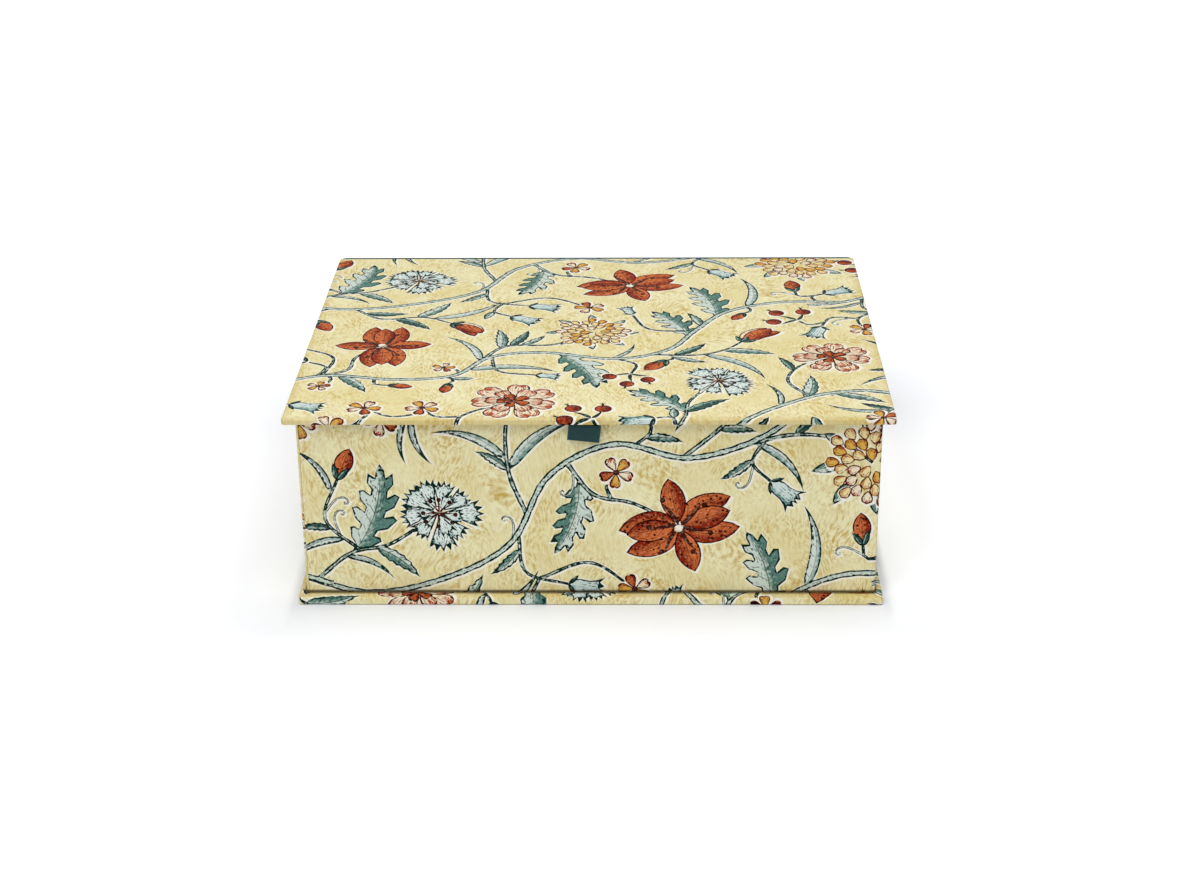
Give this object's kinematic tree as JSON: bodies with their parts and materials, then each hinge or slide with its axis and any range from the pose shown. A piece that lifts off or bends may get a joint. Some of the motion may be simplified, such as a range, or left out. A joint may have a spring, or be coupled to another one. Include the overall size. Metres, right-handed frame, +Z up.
{
  "type": "keepsake box",
  "caption": "Low rectangular keepsake box with an overhanging hinged lid, a matching base flange, a paper-covered tray and a ribbon pull.",
  "frame": {"origin": "on the table, under the middle of the closed box", "axes": "+X to the right along the box's length, +Y to the hinge at the back, +Z up"},
  "size_m": [0.24, 0.189, 0.082],
  "materials": {
    "greyboard": "matt",
    "printed_paper": "satin, printed",
    "book_cloth": "matt woven",
    "inner_hinge_cloth": "matt woven",
    "lining_paper": "matt laid",
    "gummed_tape": "matt",
    "ribbon": "soft sheen"
  },
  "bodies": {
    "case": {"base_board": "greyboard", "base_cover_paper": "printed_paper", "spine_board": "greyboard", "spine_cloth": "book_cloth", "tray_inner_hinge": "inner_hinge_cloth", "tray_left_wall": "greyboard", "tray_right_wall": "greyboard", "tray_front_wall": "greyboard", "tray_back_wall": "greyboard", "tray_floor": "greyboard", "corner_tapes": "gummed_tape", "tray_cover_paper": "printed_paper", "tray_floor_lining": "lining_paper", "tray_front_lining": "lining_paper", "tray_back_lining": "lining_paper", "tray_left_lining": "lining_paper", "tray_right_lining": "lining_paper"},
    "lid": {"lid_board": "greyboard", "lid_cover_paper": "printed_paper", "lid_hinge_cloth": "book_cloth", "lid_inner_hinge": "inner_hinge_cloth", "lid_lining": "lining_paper", "ribbon_ends": "ribbon"},
    "ribbon": {"pull_ribbon": "ribbon"}
  },
  "joints": [
    {"name": "lid_hinge", "type": "hinge", "parent": "case", "child": "lid", "pos_m": [0, 0.0945, 0.07955], "axis": [-1, 0, 0], "range_deg": [0, 175]},
    {"name": "ribbon_swing", "type": "hinge", "parent": "lid", "child": "ribbon", "pos_m": [-0.0013, -0.0929, 0.07955], "axis": [-1, 0, 0], "range_deg": [0, 80]}
  ]
}
